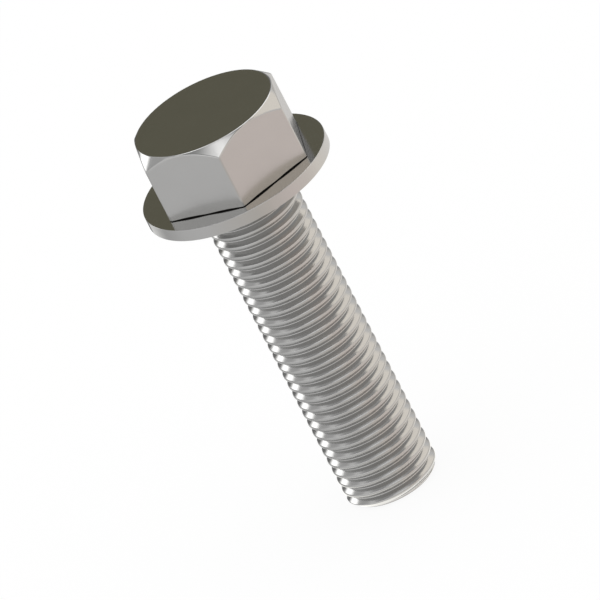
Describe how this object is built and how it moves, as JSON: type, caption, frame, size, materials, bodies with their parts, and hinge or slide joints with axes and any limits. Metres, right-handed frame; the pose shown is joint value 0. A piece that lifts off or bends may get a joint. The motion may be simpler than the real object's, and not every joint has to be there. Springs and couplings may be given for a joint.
{
  "type": "flange bolt",
  "caption": "Hexagon flange bolt with a fully threaded right-hand shank; the round flange under the head spreads the clamping load.",
  "frame": {"origin": "centre of the flat end of the thread, which the bolt stands on", "axes": "+Z along the bolt's axis, from the flat end up to the head; two corners of the hexagon lie along X"},
  "size_m": [0.0198, 0.0198, 0.0451],
  "materials": {
    "steel": "bright, smooth"
  },
  "bodies": {
    "root": {"flange_bolt": "steel"}
  },
  "joints": []
}
